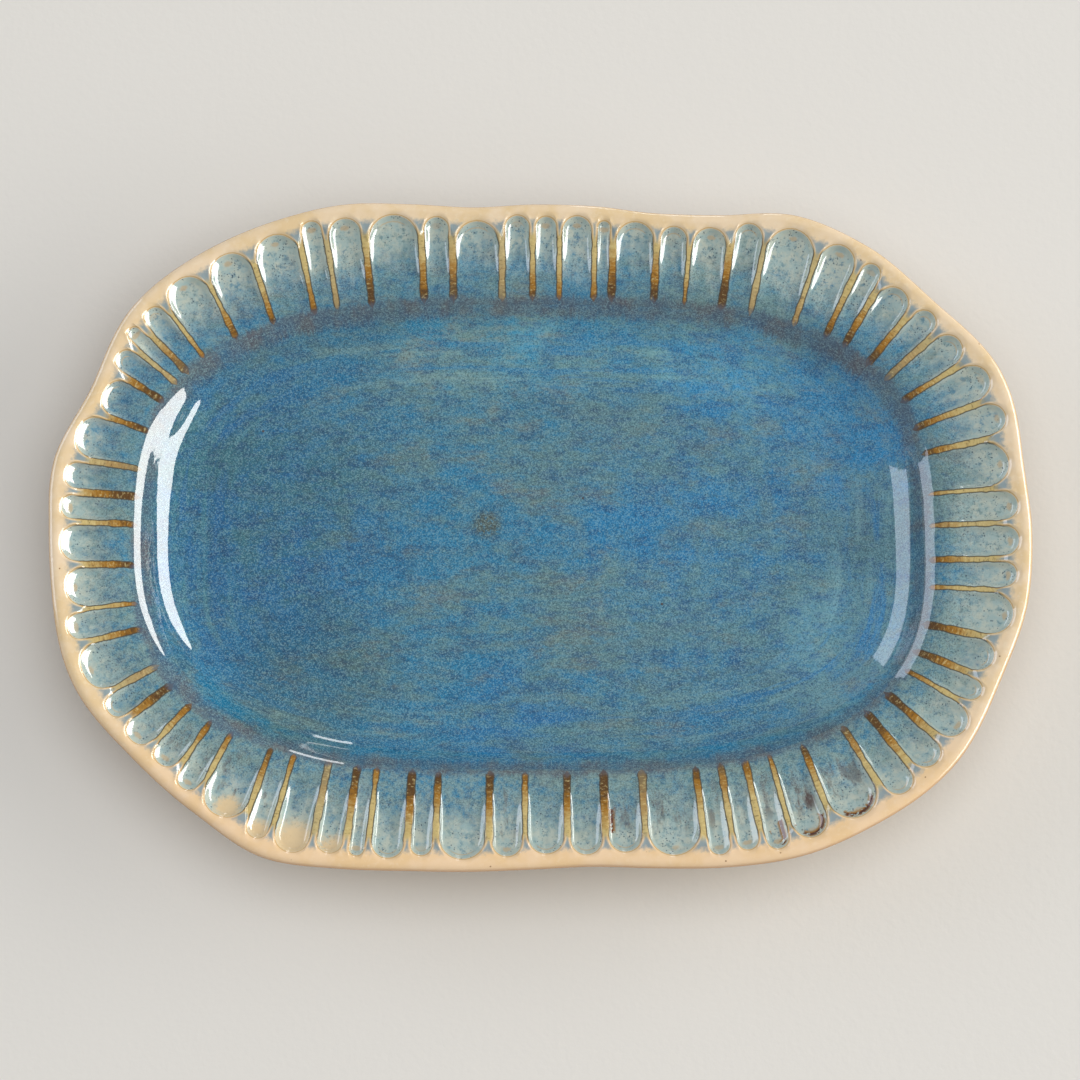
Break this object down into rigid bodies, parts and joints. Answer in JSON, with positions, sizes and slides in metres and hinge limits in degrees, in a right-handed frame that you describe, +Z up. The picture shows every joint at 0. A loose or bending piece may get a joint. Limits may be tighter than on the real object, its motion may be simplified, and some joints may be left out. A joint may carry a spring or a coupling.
{
  "type": "oval serving platter",
  "caption": "Oval stoneware serving platter with a sunken glazed well, a broad wavy rim of pressed flutes and a bare foot ring to stand on.",
  "frame": {"origin": "on the surface that the platter stands on, under the middle of its outline", "axes": "+X along the length, +Z up out of the well"},
  "size_m": [0.3792, 0.2632, 0.0364],
  "materials": {
    "stoneware": "fired buff clay",
    "bare_foot": "bare fired clay",
    "well_blue": "glossy mottled blue",
    "flute_blue": "glossy blue-grey",
    "lip_tan": "glossy tan",
    "back_tan": "glossy tan"
  },
  "bodies": {
    "root": {"stoneware_body": "stoneware", "foot_ring": "bare_foot", "well_glaze": "well_blue", "flute_glaze": "flute_blue", "lip_glaze": "lip_tan", "underside_glaze": "back_tan", "foot_recess_glaze": "back_tan"}
  },
  "joints": []
}
